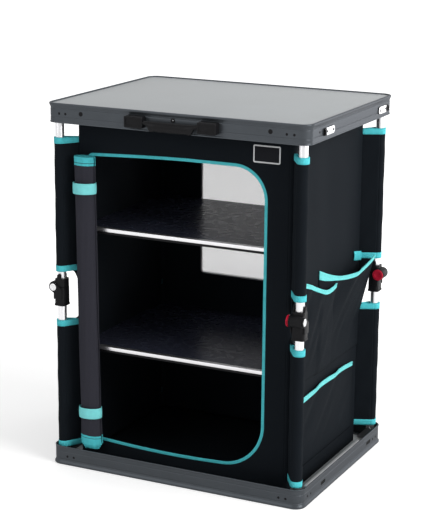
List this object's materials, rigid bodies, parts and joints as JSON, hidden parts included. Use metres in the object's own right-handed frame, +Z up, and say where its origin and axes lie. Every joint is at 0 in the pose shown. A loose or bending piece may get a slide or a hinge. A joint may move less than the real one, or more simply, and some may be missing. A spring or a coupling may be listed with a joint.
{
  "type": "folding camping cupboard",
  "caption": "Folding camping cupboard: rimmed table-top and base trays on knuckle-jointed legs, a sewn fabric body with a rolled door, shelves, side pockets and a handle.",
  "frame": {"origin": "centre of the base tray's underside, on the ground", "axes": "+Z up, +X to the right when facing the door, -Y out through the door"},
  "size_m": [0.6076, 0.4893, 0.8],
  "materials": {
    "rim": "dark grey satin anodised profile with fine grooves",
    "panel": "pale grey textured laminate on a thin board",
    "bracket": "bright pressed sheet and pale strip",
    "tube": "satin drawn tube",
    "knuckle": "black moulded plastic, fine grain",
    "pin": "turned rivet head",
    "button": "crimson moulded button",
    "handle": "black moulded plastic with soft sheen",
    "latch": "polished stamped plate",
    "shelf": "black laminated board",
    "edge": "bright extruded edge",
    "fabric": "black coated woven polyester",
    "door": "dark grey violet woven polyester",
    "window": "pale translucent mesh",
    "trim": "turquoise webbing and piping"
  },
  "bodies": {
    "base": {"base_panel": "panel", "base_rim": "rim", "guide_strip": "bracket", "base_bracket_front_left": "bracket", "base_bracket_front_right": "bracket", "base_bracket_rear_right": "bracket", "base_bracket_rear_left": "bracket", "fabric_body": "fabric", "rear_window": "window", "opening_piping": "trim", "door_roll": "door", "roll_strap_upper": "trim", "roll_strap_lower": "trim", "pocket_front": "fabric", "pocket_rear": "fabric", "pocket_lower": "fabric"},
    "top": {"top_panel": "panel", "top_rim": "rim", "handle_mount_left": "handle", "handle_mount_right": "handle", "top_bracket_front_left": "bracket", "top_bracket_front_right": "bracket", "top_bracket_rear_right": "bracket", "top_bracket_rear_left": "bracket"},
    "handle": {"handle_grip": "handle"},
    "lower_leg_front_left": {"lower_tube_front_left": "tube", "lower_knuckle_front_left": "knuckle", "knee_pin_front_left": "pin"},
    "upper_leg_front_left": {"upper_tube_front_left": "tube", "upper_knuckle_front_left": "knuckle"},
    "button_front_left": {"lock_button_front_left": "button"},
    "lower_leg_front_right": {"lower_tube_front_right": "tube", "lower_knuckle_front_right": "knuckle", "knee_pin_front_right": "pin"},
    "upper_leg_front_right": {"upper_tube_front_right": "tube", "upper_knuckle_front_right": "knuckle"},
    "button_front_right": {"lock_button_front_right": "button"},
    "lower_leg_rear_right": {"lower_tube_rear_right": "tube", "lower_knuckle_rear_right": "knuckle", "knee_pin_rear_right": "pin"},
    "upper_leg_rear_right": {"upper_tube_rear_right": "tube", "upper_knuckle_rear_right": "knuckle"},
    "button_rear_right": {"lock_button_rear_right": "button"},
    "lower_leg_rear_left": {"lower_tube_rear_left": "tube", "lower_knuckle_rear_left": "knuckle", "knee_pin_rear_left": "pin"},
    "upper_leg_rear_left": {"upper_tube_rear_left": "tube", "upper_knuckle_rear_left": "knuckle"},
    "button_rear_left": {"lock_button_rear_left": "button"},
    "shelf_upper": {"shelf_upper": "shelf", "shelf_edge_upper": "edge"},
    "shelf_lower": {"shelf_lower": "shelf", "shelf_edge_lower": "edge"},
    "latch_front_left": {"latch_front_left": "latch"},
    "latch_front_right": {"latch_front_right": "latch"},
    "latch_rear_left": {"latch_rear_left": "latch"},
    "latch_rear_right": {"latch_rear_right": "latch"}
  },
  "joints": [
    {"name": "fold", "type": "hinge", "parent": "base", "child": "lower_leg_front_left", "pos_m": [-0.278, -0.213, 0.0295], "axis": [0, 1, 0], "range_deg": [0, 90], "deforming": ["fabric_body", "rear_window", "opening_piping", "door_roll", "roll_strap_upper", "roll_strap_lower", "pocket_front", "pocket_rear", "pocket_lower"]},
    {"name": "knee_front_left", "type": "hinge", "parent": "lower_leg_front_left", "child": "upper_leg_front_left", "pos_m": [-0.291, -0.213, 0.4], "axis": [0, 1, 0], "range_deg": [-180, 0]},
    {"name": "button_press_front_left", "type": "slide", "parent": "lower_leg_front_left", "child": "button_front_left", "axis": [0, -1, 0], "range_m": [0, 0.0025], "stiffness_N_per_m": 800, "springref_m": -0.003},
    {"name": "base_pin_front_right", "type": "hinge", "parent": "base", "child": "lower_leg_front_right", "pos_m": [0.278, -0.213, 0.0295], "axis": [-1, 0, 0], "range_deg": [0, 90]},
    {"name": "knee_front_right", "type": "hinge", "parent": "lower_leg_front_right", "child": "upper_leg_front_right", "pos_m": [0.278, -0.226, 0.4], "axis": [-1, 0, 0], "range_deg": [-180, 0]},
    {"name": "button_press_front_right", "type": "slide", "parent": "lower_leg_front_right", "child": "button_front_right", "axis": [1, 0, 0], "range_m": [0, 0.0025], "stiffness_N_per_m": 800, "springref_m": -0.003},
    {"name": "base_pin_rear_right", "type": "hinge", "parent": "base", "child": "lower_leg_rear_right", "pos_m": [0.278, 0.213, 0.0295], "axis": [0, -1, 0], "range_deg": [0, 90]},
    {"name": "knee_rear_right", "type": "hinge", "parent": "lower_leg_rear_right", "child": "upper_leg_rear_right", "pos_m": [0.291, 0.213, 0.4], "axis": [0, -1, 0], "range_deg": [-180, 0]},
    {"name": "button_press_rear_right", "type": "slide", "parent": "lower_leg_rear_right", "child": "button_rear_right", "axis": [0, 1, 0], "range_m": [0, 0.0025], "stiffness_N_per_m": 800, "springref_m": -0.003},
    {"name": "base_pin_rear_left", "type": "hinge", "parent": "base", "child": "lower_leg_rear_left", "pos_m": [-0.278, 0.213, 0.0295], "axis": [1, 0, 0], "range_deg": [0, 90]},
    {"name": "knee_rear_left", "type": "hinge", "parent": "lower_leg_rear_left", "child": "upper_leg_rear_left", "pos_m": [-0.278, 0.226, 0.4], "axis": [1, 0, 0], "range_deg": [-180, 0]},
    {"name": "button_press_rear_left", "type": "slide", "parent": "lower_leg_rear_left", "child": "button_rear_left", "axis": [-1, 0, 0], "range_m": [0, 0.0025], "stiffness_N_per_m": 800, "springref_m": -0.003},
    {"name": "top_pin_front_left", "type": "hinge", "parent": "upper_leg_front_left", "child": "top", "pos_m": [-0.278, -0.213, 0.7705], "axis": [0, 1, 0], "range_deg": [0, 90]},
    {"name": "shelf_drop_upper", "type": "slide", "parent": "base", "child": "shelf_upper", "axis": [0, 0, -1], "range_m": [0, 0.49]},
    {"name": "shelf_drop_lower", "type": "slide", "parent": "base", "child": "shelf_lower", "axis": [0, 0, -1], "range_m": [0, 0.243]},
    {"name": "handle_swing", "type": "hinge", "parent": "top", "child": "handle", "pos_m": [0, -0.2445, 0.777], "axis": [-1, 0, 0], "range_deg": [0, 100]},
    {"name": "latch_turn_front_left", "type": "hinge", "parent": "top", "child": "latch_front_left", "pos_m": [-0.2975, -0.114, 0.775], "axis": [1, 0, 0], "range_deg": [0, 90]},
    {"name": "latch_turn_front_right", "type": "hinge", "parent": "top", "child": "latch_front_right", "pos_m": [0.2975, -0.114, 0.775], "axis": [1, 0, 0], "range_deg": [0, 90]},
    {"name": "latch_turn_rear_left", "type": "hinge", "parent": "top", "child": "latch_rear_left", "pos_m": [-0.2975, 0.152, 0.775], "axis": [-1, 0, 0], "range_deg": [0, 90]},
    {"name": "latch_turn_rear_right", "type": "hinge", "parent": "top", "child": "latch_rear_right", "pos_m": [0.2975, 0.152, 0.775], "axis": [-1, 0, 0], "range_deg": [0, 90]}
  ],
  "couplings": [
    {"joint": "knee_front_left", "follows": "fold", "ratio": -2},
    {"joint": "knee_front_right", "follows": "fold", "ratio": -2},
    {"joint": "base_pin_front_right", "follows": "fold", "ratio": 1},
    {"joint": "knee_rear_right", "follows": "fold", "ratio": -2},
    {"joint": "base_pin_rear_right", "follows": "fold", "ratio": 1},
    {"joint": "knee_rear_left", "follows": "fold", "ratio": -2},
    {"joint": "base_pin_rear_left", "follows": "fold", "ratio": 1},
    {"joint": "top_pin_front_left", "follows": "fold", "ratio": 1},
    {"joint": "shelf_drop_upper", "follows": "fold", "m_per_rad": 0.3119},
    {"joint": "shelf_drop_lower", "follows": "fold", "m_per_rad": 0.1546}
  ]
}
